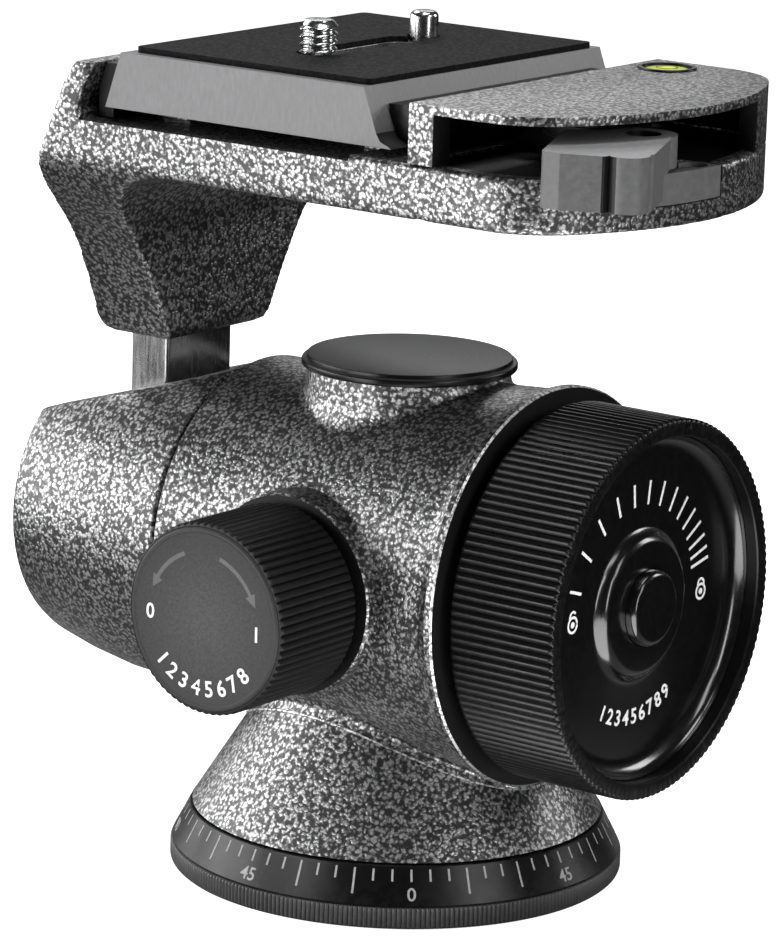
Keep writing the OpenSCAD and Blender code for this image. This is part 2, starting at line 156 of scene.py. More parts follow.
def prism(poly, t0, t1, axis="z"):
    """An outline extruded along an axis: (x, y) along z, (x, z) along y, (y, z) along x."""
    p = np.array(poly, float)
    n = len(p)
    v = np.concatenate([along(axis, (0, 0, 0), p[:, 0], p[:, 1], np.full(n, t)) for t in (t0, t1)])
    f = [tuple(range(n)), tuple(range(2 * n - 1, n - 1, -1))]
    f += [(i, n + i, n + (i + 1) % n, (i + 1) % n) for i in range(n)]
    return solid(v, f)


def box(x0, y0, z0, x1, y1, z1):
    return prism([(x0, y0), (x1, y0), (x1, y1), (x0, y1)], z0, z1)


def rod(x, y, r, z0, z1, n=48):
    return prism(arc(x, y, r, 0, 360 - 360 / n, n - 1), z0, z1)


def stadium(x, y0, y1, r, n=16):
    return arc(x, y1, r, 0, 180, n) + arc(x, y0, r, 180, 360, n)


def bake(o):
    me = bpy.data.meshes.new_from_object(o.evaluated_get(bpy.context.evaluated_depsgraph_get()))
    o.modifiers.clear()
    old, o.data = o.data, me
    bpy.data.meshes.remove(old)
    return o


def cut(o, *tools, op="DIFFERENCE"):
    for t in tools:
        m = o.modifiers.new("b", "BOOLEAN")
        m.operation, m.object, m.solver = op, t, "MANIFOLD"
        bake(o)
        bpy.data.objects.remove(t)
    return o


def add(o, *tools):
    return cut(o, *tools, op="UNION")


def keep(o, *tools):
    return cut(o, *tools, op="INTERSECT")


def cast(o, voxel, passes):
    """Melts sharp corners into the soft edges of a casting."""
    m = o.modifiers.new("r", "REMESH")
    m.mode, m.voxel_size = "VOXEL", voxel
    s = o.modifiers.new("s", "SMOOTH")
    s.factor, s.iterations = 0.5, passes
    return bake(o)


def edge(o, width, seg=2, angle=40):
    m = o.modifiers.new("e", "BEVEL")
    m.width, m.segments, m.limit_method, m.angle_limit = width, seg, "ANGLE", RAD(angle)
    return bake(o)


def tidy(o, angle=0.8):
    """Merges the slivers that a boolean leaves on flat faces."""
    bm = bmesh.new()
    bm.from_mesh(o.data)
    bmesh.ops.remove_doubles(bm, verts=bm.verts[:], dist=0.004)
    bmesh.ops.dissolve_limit(bm, angle_limit=RAD(angle), verts=bm.verts[:], edges=bm.edges[:])
    bm.to_mesh(o.data)
    bm.free()
    return o


def joined(objs):
    bm = bmesh.new()
    for o in objs:
        bm.from_mesh(o.data)
    me = bpy.data.meshes.new("tmp")
    bm.to_mesh(me)
    bm.free()
    for o in objs:
        bpy.data.objects.remove(o)
    o = bpy.data.objects.new("tmp", me)
    scene.collection.objects.link(o)
    return o


def piece(o, name, body, mat, over=(), sharp=35, weighted=False):
    me = o.data
    me.transform(Matrix.Scale(0.001, 4))
    o.name = me.name = name
    me.materials.clear()
    for m in mat if isinstance(mat, (list, tuple)) else [mat]:
        me.materials.append(m)
    me.shade_smooth()
    me.set_sharp_from_angle(angle=RAD(sharp))
    if weighted:
        w = o.modifiers.new("n", "WEIGHTED_NORMAL")
        w.keep_sharp, w.weight = True, 80
    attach(o, body)
    for n in over:
        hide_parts(n)
    return o


def lettering(text, size, bold=0.0):
    """Flat letters as (points, faces) with their middle at the origin."""
    c = bpy.data.curves.new("t", "FONT")
    c.body, c.size, c.resolution_u, c.offset = text, size, 3, bold
    c.align_x = "LEFT"
    o = bpy.data.objects.new("t", c)
    scene.collection.objects.link(o)
    me = bpy.data.meshes.new_from_object(o.evaluated_get(bpy.context.evaluated_depsgraph_get()))
    bpy.data.objects.remove(o)
    bm = bmesh.new()
    bm.from_mesh(me)
    bmesh.ops.remove_doubles(bm, verts=bm.verts[:], dist=1e-4)
    bmesh.ops.dissolve_limit(bm, angle_limit=RAD(1), verts=bm.verts[:], edges=bm.edges[:])
    bm.to_mesh(me)
    bm.free()
    p = np.array([v.co[:2] for v in me.vertices])
    f = [tuple(q.vertices) for q in me.polygons]
    return p - (p.min(0) + p.max(0)) / 2, f


def inked(shapes, place, t0=-0.03, t1=0.035):
    """Thin raised marks: each shape is (points, faces), and place maps (u, v, height) onto the surface."""
    parts = []
    for p, f in shapes:
        p = np.asarray(p, float)
        n = len(p)
        low = [place(u, v, t0) for u, v in p]
        top = [place(u, v, t1) for u, v in p]
        rim = {}
        for q in f:
            for i in range(len(q)):
                a, b = q[i], q[(i + 1) % len(q)]
                if (b, a) in rim:
                    del rim[(b, a)]
                else:
                    rim[(a, b)] = 1
        faces = [tuple(n + i for i in q) for q in f] + [tuple(reversed(q)) for q in f]
        faces += [(a, b, n + b, n + a) for a, b in rim]
        parts.append(solid(low + top, faces))
    return joined(parts)


def bar(u0, v0, u1, v1, w, n=1):
    """A straight line of width w as one strip."""
    d = np.array([u1 - u0, v1 - v0])
    d = d / np.linalg.norm(d)
    s = np.array([-d[1], d[0]]) * w / 2
    a, b = np.array([u0, v0]), np.array([u1, v1])
    pts = [a + (b - a) * k / n + q for k in range(n + 1) for q in (-s, s)]
    return pts, [(2 * k, 2 * k + 2, 2 * k + 3, 2 * k + 1) for k in range(n)]


def bow(cx, cy, r, a0, a1, w, n=14):
    pts = [(cx + q * math.cos(RAD(a0 + (a1 - a0) * k / n)), cy + q * math.sin(RAD(a0 + (a1 - a0) * k / n))) for k in range(n + 1) for q in (r - w / 2, r + w / 2)]
    return pts, [(2 * k, 2 * k + 1, 2 * k + 3, 2 * k + 2) for k in range(n)]


def thread(r, depth, pitch, z0, z1, x=0.0, y=0.0, n=48, rows=8, inner=False, lead=0.9):
    """The wall of a helical thread as rings of points, deepest between the crests."""
    m = int((z1 - z0) / pitch * rows)
    th = np.arange(n) * 2 * math.pi / n
    rings = []
    for k in range(m + 1):
        z = z0 + (z1 - z0) * k / m
        ph = (z / pitch - th / (2 * math.pi)) % 1.0
        tri = np.clip(np.abs(ph - 0.5) * 2 * 1.35 - 0.12, 0, 1)
        rr = r + depth * (1 - tri) if inner else r - depth * tri
        rings.append(np.stack([x + rr * np.cos(th), y + rr * np.sin(th), np.full(n, z)], -1))
    return rings


def loft(rings, cap=True):
    n = len(rings[0])
    v = np.concatenate(rings)
    f = []
    for k in range(len(rings) - 1):
        for i in range(n):
            j = (i + 1) % n
            f.append((k * n + i, k * n + j, (k + 1) * n + j, (k + 1) * n + i))
    if cap:
        f += [tuple(range(n)), tuple(range(len(v) - 1, len(v) - n - 1, -1))]
    else:
        k = len(rings) - 1
        f += [(k * n + i, k * n + (i + 1) % n, (i + 1) % n, i) for i in range(n)]
    return solid(v, f)


# ---------------------------------------------------------------- materials
class Mat:
    """A node material around one Principled shader, textured in the part's own coordinates."""

    def __init__(self, name, **sockets):
        self.m = bpy.data.materials.new(name)
        self.m.use_nodes = True
        self.t = self.m.node_tree
        self.t.nodes.clear()
        out = self.t.nodes.new("ShaderNodeOutputMaterial")
        self.b = self.t.nodes.new("ShaderNodeBsdfPrincipled")
        self.t.links.new(self.b.outputs[0], out.inputs[0])
        self.co = self.t.nodes.new("ShaderNodeTexCoord").outputs["Object"]
        for k, v in sockets.items():
            self.b.inputs[k.replace("_", " ")].default_value = v

    def node(self, kind, **props):
        n = self.t.nodes.new("ShaderNode" + kind)
        for k, v in props.items():
            setattr(n, k, v)
        return n

    def link(self, a, b):
        self.t.links.new(a, b)

    def noise(self, scale, detail=2.0, rough=0.5, stretch=None, distort=0.0):
        n = self.node("TexNoise")
        n.inputs["Scale"].default_value = scale
        n.inputs["Detail"].default_value = detail
        n.inputs["Roughness"].default_value = rough
        n.inputs["Distortion"].default_value = distort
        src = self.co
        if stretch:
            mp = self.node("Mapping")
            mp.inputs["Scale"].default_value = stretch
            self.link(self.co, mp.inputs["Vector"])
            src = mp.outputs["Vector"]
        self.link(src, n.inputs["Vector"])
        return n.outputs["Fac"]

    def radius(self, axis, centre):
        """Distance from an axis, for turned marks."""
        mp = self.node("Mapping")
        mp.inputs["Location"].default_value = [-c for c in centre]
        mp.inputs["Scale"].default_value = [0 if a == axis else 1 for a in "xyz"]
        mp.inputs["Location"].default_value = [0 if a == axis else -c for a, c in zip("xyz", centre)]
        self.link(self.co, mp.inputs["Vector"])
        ln = self.node("VectorMath", operation="LENGTH")
        self.link(mp.outputs["Vector"], ln.inputs[0])
        return ln.outputs["Value"]

    def ramp(self, fac, stops, smooth=False):
        r = self.node("ValToRGB")
        e = r.color_ramp.elements
        while len(e) > 1:
            e.remove(e[-1])
        e[0].position = stops[0][0]
        for p, _ in stops[1:]:
            e.new(p)
        for k, (p, c) in enumerate(stops):
            e[k].color = (c, c, c, 1) if isinstance(c, (int, float)) else (*c, 1)
        if smooth:
            r.color_ramp.interpolation = "EASE"
        self.link(fac, r.inputs["Fac"])
        return r.outputs["Color"]

    def span(self, fac, a, b, lo=0.0, hi=1.0):
        r = self.node("MapRange")
        for k, v in zip(("From Min", "From Max", "To Min", "To Max"), (a, b, lo, hi)):
            r.inputs[k].default_value = v
        self.link(fac, r.inputs["Value"])
        return r.outputs["Result"]

    def mul(self, a, b, op="MULTIPLY"):
        m = self.node("Math", operation=op)
        self.link(a, m.inputs[0])
        if isinstance(b, (int, float)):
            m.inputs[1].default_value = b
        else:
            self.link(b, m.inputs[1])
        return m.outputs["Value"]

    def mix(self, fac, a, b):
        m = self.node("Mix", data_type="RGBA")
        self.link(fac, m.inputs["Factor"])
        for s, v in ((6, a), (7, b)):
            if isinstance(v, tuple):
                m.inputs[s].default_value = (*v, 1)
            else:
                self.link(v, m.inputs[s])
        return m.outputs[2]

    def colour(self, out):
        self.link(out, self.b.inputs["Base Color"])

    def rough(self, out):
        self.link(out, self.b.inputs["Roughness"])

    def bump(self, height, strength, distance, prev=None):
        n = self.node("Bump")
        n.inputs["Strength"].default_value = strength
        n.inputs["Distance"].default_value = distance
        self.link(height, n.inputs["Height"])
        if prev is not None:
            self.link(prev, n.inputs["Normal"])
        self.link(n.outputs["Normal"], self.b.inputs["Normal"])
        return n.outputs["Normal"]

    def worn(self, colour, bright, amount=0.6):
        """Lighter metal along edges and crests: partly rubbed wear, partly a painted highlight on the ribs' crests."""
        g = self.node("NewGeometry").outputs["Pointiness"]
        w = self.mul(self.span(g, 0.53, 0.60), self.span(self.noise(900, 3), 0.45, 0.62, 0, amount))
        return self.mix(w, colour, bright)


def hammer():
    """Silver grains of hammer-finish paint, dark in the seams between them."""
    k = Mat("hammer_paint", Metallic=1.0, Specular_IOR_Level=0.5, Coat_Weight=0.65, Coat_Roughness=0.36)
    warp = k.node("TexNoise")
    warp.inputs["Scale"].default_value = 1700
    warp.inputs["Detail"].default_value = 1.0
    k.link(k.co, warp.inputs["Vector"])
    shift = k.node("VectorMath", operation="SCALE")
    shift.inputs["Scale"].default_value = 0.0009
    k.link(warp.outputs["Color"], shift.inputs[0])
    place = k.node("VectorMath", operation="ADD")
    k.link(k.co, place.inputs[0])
    k.link(shift.outputs["Vector"], place.inputs[1])
    v = k.node("TexVoronoi", feature="SMOOTH_F1")
    v.inputs["Scale"].default_value = 1420
    v.inputs["Smoothness"].default_value = 0.5
    k.link(place.outputs["Vector"], v.inputs["Vector"])
    d = v.outputs["Distance"]
    fine = k.noise(3600, 2.0, 0.5)
    drift = k.noise(48, 2.0)
    c = k.ramp(d, [(0.14, 0.58), (0.34, 0.42), (0.48, 0.16), (0.62, 0.04)])
    c = k.mix(k.span(drift, 0.3, 0.7, 0.0, 0.3), c, k.ramp(d, [(0.14, 0.48), (0.34, 0.31), (0.48, 0.11), (0.62, 0.03)]))
    k.colour(c)
    k.rough(k.ramp(d, [(0.2, 0.40), (0.7, 0.52)]))
    k.bump(fine, 0.10, 0.00005, k.bump(k.span(d, 0.0, 0.8, 1.0, 0.0), 0.8, 0.00011))
    return k.m


def anodised(name="black_anodised", level=0.003, rough=0.29):
    k = Mat(name, Metallic=0.0, Specular_IOR_Level=0.28)
    n = k.noise(420, 4.0, 0.6)
    c = k.ramp(n, [(0.3, level * 0.75), (0.7, level * 1.3)])
    # edges and rib crests are lighter: partly wear, partly painted highlight
    k.colour(k.worn(c, (0.10, 0.10, 0.105), 0.3))
    k.rough(k.ramp(k.noise(160, 5.0, 0.6), [(0.3, rough - 0.05), (0.7, rough + 0.08)]))
    k.bump(k.noise(5200, 2.0), 0.10, 0.00004)
    return k.m


def spun(name, axis, centre, level, rough):
    """Black metal with the fine rings of a lathe tool."""
    k = Mat(name, Metallic=0.3, Specular_IOR_Level=0.5)
    r = k.radius(axis, centre)
    v = k.node("CombineXYZ")
    k.link(r, v.inputs["X"])
    n = k.node("TexNoise")
    n.inputs["Scale"].default_value = 2600
    n.inputs["Detail"].default_value = 3
    k.link(v.outputs["Vector"], n.inputs["Vector"])
    k.colour(k.ramp(n.outputs["Fac"], [(0.3, level * 0.7), (0.7, level * 1.5)]))
    k.rough(k.ramp(n.outputs["Fac"], [(0.3, rough - 0.06), (0.7, rough + 0.1)]))
    k.bump(n.outputs["Fac"], 0.25, 0.00006)
    return k.m


def gloss_black():
    k = Mat("gloss_black", Specular_IOR_Level=0.5, Coat_Weight=0.7, Coat_Roughness=0.15)
    k.colour(k.ramp(k.noise(900, 3.0), [(0.3, 0.0015), (0.75, 0.004)]))
    k.rough(k.ramp(k.noise(240, 4.0), [(0.3, 0.16), (0.7, 0.24)]))
    k.bump(k.noise(2600, 2.0), 0.05, 0.00003)
    return k.m


def moulded(name, level, rough, centre=None):
    """Fine-grained matte black plastic, lighter towards the middle and darker towards the rim where a centre is given.
    """
    k = Mat(name, Specular_IOR_Level=0.3)
    n = k.noise(2200, 3.0, 0.6)
    c = k.ramp(n, [(0.3, level * 0.7), (0.7, level * 1.35)])
    if centre:
        c = k.mix(k.span(k.radius("y", centre), 0.002, 0.0145), c, k.ramp(n, [(0.3, level * 0.35), (0.7, level * 0.7)]))
    k.colour(c)
    k.rough(k.ramp(n, [(0.3, rough - 0.06), (0.7, rough + 0.08)]))
    k.bump(n, 0.22, 0.00006)
    return k.m


def satin(name, level, rough, grain=(1, 1, 1), tint=(1.0, 1.0, 1.02), metallic=0.12):
    """Bead-blasted, anodised grey metal with a slight grain."""
    k = Mat(name, Metallic=metallic, Specular_IOR_Level=0.5)
    g = k.noise(900, 4.0, 0.6, stretch=grain)
    slow = k.noise(70, 2.0)
    a = tuple(level * 0.82 * t for t in tint)
    b = tuple(level * 1.15 * t for t in tint)
    c = k.mix(k.span(g, 0.3, 0.7), a, b)
    c = k.mix(k.span(slow, 0.35, 0.65, 0, 0.25), c, tuple(level * 0.8 * t for t in tint))
    k.colour(c)
    k.rough(k.span(g, 0.25, 0.75, rough - 0.05, rough + 0.07))
    k.bump(k.noise(5200, 2.0, stretch=grain), 0.18, 0.00004)
    return k.m


def steel(name, level, rough, grain=(1, 1, 1)):
    k = Mat(name, Metallic=1.0)
    g = k.noise(1600, 4.0, 0.6, stretch=grain)
    k.colour(k.ramp(g, [(0.3, level * 0.85), (0.7, level * 1.08)]))
    k.rough(k.span(g, 0.25, 0.75, max(0.04, rough - 0.06), rough + 0.07))
    k.bump(g, 0.10, 0.00003)
    return k.m


def rubbed():
    """Bright spotted metal for the skirt's ridge and the collar's rim: a painted highlight line."""
    k = Mat("painted_highlight_line", Metallic=1.0)
    g = k.noise(1300, 2.0, 0.6)
    k.colour(k.ramp(g, [(0.40, 0.16), (0.54, 0.85)]))
    k.rough(k.ramp(g, [(0.4, 0.55), (0.6, 0.42)]))
    k.bump(g, 0.4, 0.00008)
    return k.m


def rubber():
    """Pad of fine-grained rubber."""
    k = Mat("rubber_black", Specular_IOR_Level=0.12)
    n = k.noise(1500, 3.0, 0.6)
    k.colour(k.ramp(n, [(0.35, 0.002), (0.52, 0.005), (0.72, 0.014)]))
    k.rough(k.ramp(n, [(0.3, 0.82), (0.7, 0.62)]))
    k.bump(n, 0.5, 0.00012)
    return k.m


def bronze():
    k = Mat("bronze", Metallic=1.0)
    g = k.noise(700, 4.0)
    k.colour(k.ramp(g, [(0.3, (0.34, 0.21, 0.09)), (0.7, (0.52, 0.35, 0.15))]))
    k.rough(k.span(g, 0.3, 0.7, 0.28, 0.42))
    k.bump(g, 0.1, 0.00003)
    return k.m


def bearing():
    k = Mat("bearing_plastic", Subsurface_Weight=0.05)
    g = k.noise(800, 3.0)
    k.colour(k.ramp(g, [(0.3, (0.66, 0.64, 0.58)), (0.7, (0.78, 0.76, 0.70))]))
    k.rough(k.span(g, 0.3, 0.7, 0.42, 0.56))
    k.bump(g, 0.1, 0.00004)
    return k.m


def fluid():
    k = Mat("level_fluid", Specular_IOR_Level=0.15, Roughness=0.2)
    r = k.radius("z", (0.031, 0.0267, 0))
    k.colour(k.ramp(k.span(r, 0.0, 0.0041), [(0.0, (0.62, 0.70, 0.04)), (0.70, (0.50, 0.62, 0.02)), (1.0, (0.06, 0.12, 0.01))]))
    return k.m


def ink(name, level):
    k = Mat(name, Specular_IOR_Level=0.3)
    n = k.noise(2600, 3.0, 0.6)
    k.colour(k.ramp(n, [(0.3, level * 0.72), (0.6, level)]))
    k.rough(k.span(n, 0.3, 0.7, 0.5, 0.7))
    return k.m


M = {
    "hammer_paint": hammer(),
    "black_anodised": anodised(),
    "gloss_black": gloss_black(),
    "black_nylon": moulded("black_nylon", 0.004, 0.46),
    "face_plastic": moulded("face_plastic", 0.046, 0.55, (0, 0, 0.0526)),
    "satin_grey": satin("satin_grey", 0.115, 0.50),
    # a lighter copy of satin grey: painted light for the lever's top
    "lever_top_painted_light": satin("lever_top_painted_light", 0.32, 0.48),
    # a dark copy of satin grey: painted shade for the plate's end
    "plate_painted_shade": satin("plate_painted_shade", 0.03, 0.50),
    "plate_metal": satin("plate_metal", 0.19, 0.50, grain=(1.6, 1.6, 0.5)),
    "rubber_black": rubber(),
    "steel_bright": steel("steel_bright", 0.62, 0.20),
    "steel_plain": steel("steel_plain", 0.46, 0.30),
    "steel_stem": steel("steel_stem", 0.30, 0.24, grain=(1.0, 1.0, 0.1)),
    "steel_black": steel("steel_black", 0.05, 0.36),
    # painted highlight for the skirt's ridge and the collar's rim
    "painted_highlight_line": rubbed(),
    "knurl_grey": satin("knurl_grey", 0.09, 0.45),
    "bronze": bronze(),
    "bearing_plastic": bearing(),
    "level_fluid": fluid(),
    "cap_black": spun("cap_black", "z", (0, 0, 0), 0.065, 0.40),
    "ink_white": ink("ink_white", 0.85),
    "ink_dim": ink("ink_dim", 0.45),
    "ink_faint": ink("ink_faint", 0.11),
}


# ---------------------------------------------------------------- base
def make_base():
    prof = [(6.5, 0), (37.0, 0), (37.65, 0.18), (38.15, 0.6), (38.3, 1.0), (38.3, 3.45), (38.15, 3.72), (37.8, 3.8), (37.8, 4.05),
            (37.95, 4.2), (35.15, 9.6), (35.0, 9.95), (34.75, 10.1), (32, 10.1), (32, 8.6), (6.5, 8.6)]
    depth = [0, 0, 0.05, 0.3, 0.36, 0.36, 0.28, 0, 0, 0, 0, 0, 0, 0, 0, 0]
    o = lathe(prof, 1500, ribs=300, depth=depth, sharp=0.8)
    for a in (90, 210, 330):
        x, y = 17 * math.cos(RAD(a)), 17 * math.sin(RAD(a))
        cut(o, rod(x, y, 3.7, -1, 4.9), rod(x, y, 2.1, -1, 12))
    o = piece(o, "dial_ring", "base", [M["black_anodised"], M["knurl_grey"]], ["base_dial"], sharp=28)
    for f in o.data.polygons:  # the knurl band is lighter grey
        if 0.0003 < f.center.z < 0.0038 and math.hypot(f.center.x, f.center.y) > 0.0372:
            f.material_index = 1

    def on_cone(az):
        ca, cz = 0.460, 0.888  # slope of the cone

        def place(u, v, h):
            r = 36.45 - ca * v + cz * h
            a = az + u / 36.45
            return (r * math.sin(a), -r * math.cos(a), 7.1 + cz * v + ca * h)
        return place

    marks = []
    for k in range(72):
        az = RAD(40.9 + 5 * k)
        long = k % 3 == 0 and k % 9 != 0
        marks.append(inked([bar(0, 2.75, 0, -1.55 if long else 0.75, 0.34, 3)], on_cone(az)))
    for k in range(8):
        n = 45 * (k if k <= 4 else 8 - k)
        marks.append(inked([lettering(str(n), 3.1, 0.03)], lambda u, v, h, f=on_cone(RAD(40.9 + 45 * k)): f(u, v - 1.35, h)))
    piece(joined(marks), "dial_marks", "base", M["ink_dim"], sharp=40)
    rings = thread(4.12, 0.64, 1.5875, 0.7, 13.3, inner=True)
    th = np.arange(48) * 2 * math.pi / 48

    def ring(r, z):
        return np.stack([r * np.cos(th), r * np.sin(th), np.full(48, z)], -1)
    o = loft([ring(6.47, 0), ring(5.0, 0), ring(4.76, 0.3)] + rings + [ring(4.76, 13.7), ring(4.9, 14), ring(6.47, 14)], cap=False)
    piece(o, "tripod_thread_bush", "base", M["steel_plain"], ["tripod_bush"], sharp=50)


# ---------------------------------------------------------------- housing and drum
def make_housing():
    hull = [(29.6, -30.1), (29.8, -15), (30.6, 0), (31.5, 15), (32.3, 27.2)]
    barrel = lathe([(0, -34), (29.5, -34)] + hull + [(33.2, 28.8), (33.2, 32), (0, 32)], 192, "x", (0, 0, AXIS_Z))
    cone = lathe([(0, 4), (38.69, 4), (34.7, 10.4), (16, 40.4), (0, 40.4)], 192)
    boss = lathe([(0, 60), (21, 60), (20, 75.6), (17.9, 78.4), (17.2, 80.4), (16.9, 85.85), (16.9, 88.5), (0, 88.5)], 128)
    pan = lathe([(0, -34.5), (16.3, -34.5), (16.3, -5), (0, -5)], 128, "y", (0, 0, PAN_Z))
    o = cast(joined([barrel, cone, boss, pan]), 0.55, 9)
    # the fine ridge where the barrel's fillet runs out on the skirt
    line = []
    for k in range(120):
        a = 2 * math.pi * k / 120
        z = 15.0
        while z < 39:
            r = 34.7 - (z - 10.4) * 0.62333
            x, y = r * math.cos(a), r * math.sin(a)
            if y * y + (z - AXIS_Z) ** 2 < float(np.interp(x, [q[1] for q in hull], [q[0] for q in hull])) ** 2:
                break
            z += 0.02
        z -= 1.9
        r = 34.7 - (z - 10.4) * 0.62333
        line.append((a, r, z))
    rings = []
    for a, r, z in line:
        tube = [(0.24 * math.cos(RAD(t)), 0.24 * math.sin(RAD(t))) for t in range(0, 360, 45)]
        rings.append(np.array([((r + q) * math.cos(a), (r + q) * math.sin(a), z + h) for q, h in tube]))
    add(o, loft(rings, cap=False))
    # crisp ends at the seam, the collar, the two bosses and above the dial, and the room inside
    cut(o, lathe([(0, -60), (33, -60), (33, -29.95), (29.7, -29.95), (29.15, -30.5), (0, -30.5)], 192, "x", (0, 0, AXIS_Z)))
    cut(o, lathe([(0, 30.3), (32.75, 30.3), (33.1, 29.95), (34.4, 29.95), (34.4, 45), (0, 45)], 192, "x", (0, 0, AXIS_Z)))
    cut(o, lathe([(0, -32), (16.3, -32), (16.6, -31.7), (17.6, -31.7), (17.6, -45), (0, -45)], 128, "y", (0, 0, PAN_Z)))
    cut(o, rod(0, 0, 18.6, 85.85, 100, 96))
    add(o, lathe([(0, -32), (16.5, -32), (16.85, -31.65), (16.85, -22), (0, -22)], 160, "y", (0, 0, PAN_Z)))
    add(o, lathe([(0, 28.7), (33.15, 28.7), (33.4, 28.95), (33.4, 30.0), (33.1, 30.3), (0, 30.3)], 192, "x", (0, 0, AXIS_Z)))
    cut(o, box(-60, -60, -5, 60, 60, 10.45))
    cut(o, lathe([(0, -32), (20.4, -32), (20.4, -18), (25, -18), (25, 20), (11.1, 20), (11.1, 40), (0, 40)], 96, "x", (0, 0, AXIS_Z)))
    cut(o, lathe([(0, 5), (32.2, 5), (32.2, 10.5), (24.6, 10.5), (24.6, 12.2), (11, 12.2), (11, 32), (15, 32), (15, 53), (0, 53)], 96))
    cut(o, rod(0, 0, 12.05, 60, 90, 64))
    cut(o, lathe([(0, -40), (5.2, -40), (5.2, -18), (0, -18)], 48, "y", (0, 0, PAN_Z)))
    cut(o, rod(0, -17, 4.2, 5, 49))
    o = piece(o, "housing_casting", "housing_body", [M["hammer_paint"], M["black_nylon"], M["painted_highlight_line"]], ["housing"], sharp=40)
    for f in o.data.polygons:  # faces in the gaps under the two knobs are painted black as shade
        if (f.normal.x > 0.95 and abs(f.center.x - 0.0303) < 0.0001) or (f.normal.y < -0.95 and abs(f.center.y + 0.032) < 0.0001 and math.hypot(f.center.x, f.center.z - 0.0526) < 0.0168):
            f.material_index = 1
        c = f.center * 1000
        q = math.hypot(c.y, c.z - AXIS_Z)
        if 29.9 < c.x < 30.4 and 31.0 < q < 33.6:  # the collar's end is painted black as shade, with a painted highlight along its rim
            f.material_index = 2 if q > 33.05 and 0.3 < f.normal.x < 0.95 else 1
        if 12 < c.z < 40:  # the ridge gets a painted highlight
            a, r, z = line[round(math.atan2(c.y, c.x) * 60 / math.pi) % 120]
            if math.hypot(math.hypot(c.x, c.y) - r, c.z - z) < 0.36 and math.hypot(c.x, c.y) - (34.7 - (c.z - 10.4) * 0.62333) > 0.05:
                f.material_index = 2

    prof = [(0, 76.5), (11.9, 76.5), (11.9, 85.9)] + arc(17.62, 86.28, 0.38, -90, 0, 5) + arc(17.55, 86.75, 0.45, 0, 62, 6) + \
        [(17.5, 87.12), (17.22, 87.1), (17.12, 87.2)] + arc(16.97, 87.69, 0.15, 0, 90, 4) + [(0, 87.84)]
    o = lathe(prof, 192)
    o = piece(o, "cap_disc", "housing_body", [M["cap_black"], M["black_anodised"]], ["top_cap"], sharp=40)
    for f in o.data.polygons:  # dark rim
        if f.normal.z < 0.7:
            f.material_index = 1


def make_drum():
    o = lathe([(0, -26), (29.65, -26), (29.5, -31.2), (29.25, -36), (28.5, -48.5), (27.25, -56.5), (25.6, -63.6), (24.7, -65.6), (23, -66.4), (0, -66.4)], 192, "x", (0, 0, AXIS_Z))
    t = RAD(16.9)
    flat = prism([(-60, 0), (50, 0), (50, 40), (-60, 40)], -50, 50, "y")
    flat.data.transform(Matrix.Translation((-49, 0, 76.2)) @ Matrix.Rotation(-t, 4, "Y"))
    cut(o, flat)
    s, c, w = math.sin(RAD(12.6)), math.cos(RAD(12.6)), 4.5
    slot = prism([(-30, -w), (-0.5, -w), (w * c, -w * s), (w * c + 45 * s, 45 * c), (-30, 45)], -9.15, 9.15, "y")
    slot.data.transform(Matrix.Translation((-49, 0, AXIS_Z)))
    cut(o, slot)
    cast(o, 0.5, 4)
    keep(o, lathe([(0, -80), (70, -80), (70, -31.35), (29.6, -31.35), (29.05, -30.8), (0, -30.8)], 192, "x", (0, 0, AXIS_Z)))
    cut(o, lathe(turn([(0, -63.3)] + [(14.35 * math.sin(RAD(a)), -49 - 14.35 * math.cos(RAD(a))) for a in range(6, 90, 6)] + [(14.45, -49), (14.45, -30), (0, -30)], 0), 72, "x", (0, 0, AXIS_Z)))
    add(o, cut(lathe([(0, -17), (19.9, -17), (19.9, -30.9), (0, -30.9)], 96, "x", (0, 0, AXIS_Z)),
               lathe([(0, -10), (14.45, -10), (14.45, -40), (0, -40)], 72, "x", (0, 0, AXIS_Z))))
    piece(o, "drum_casting", "drum", M["hammer_paint"], ["ball_drum"], sharp=48)


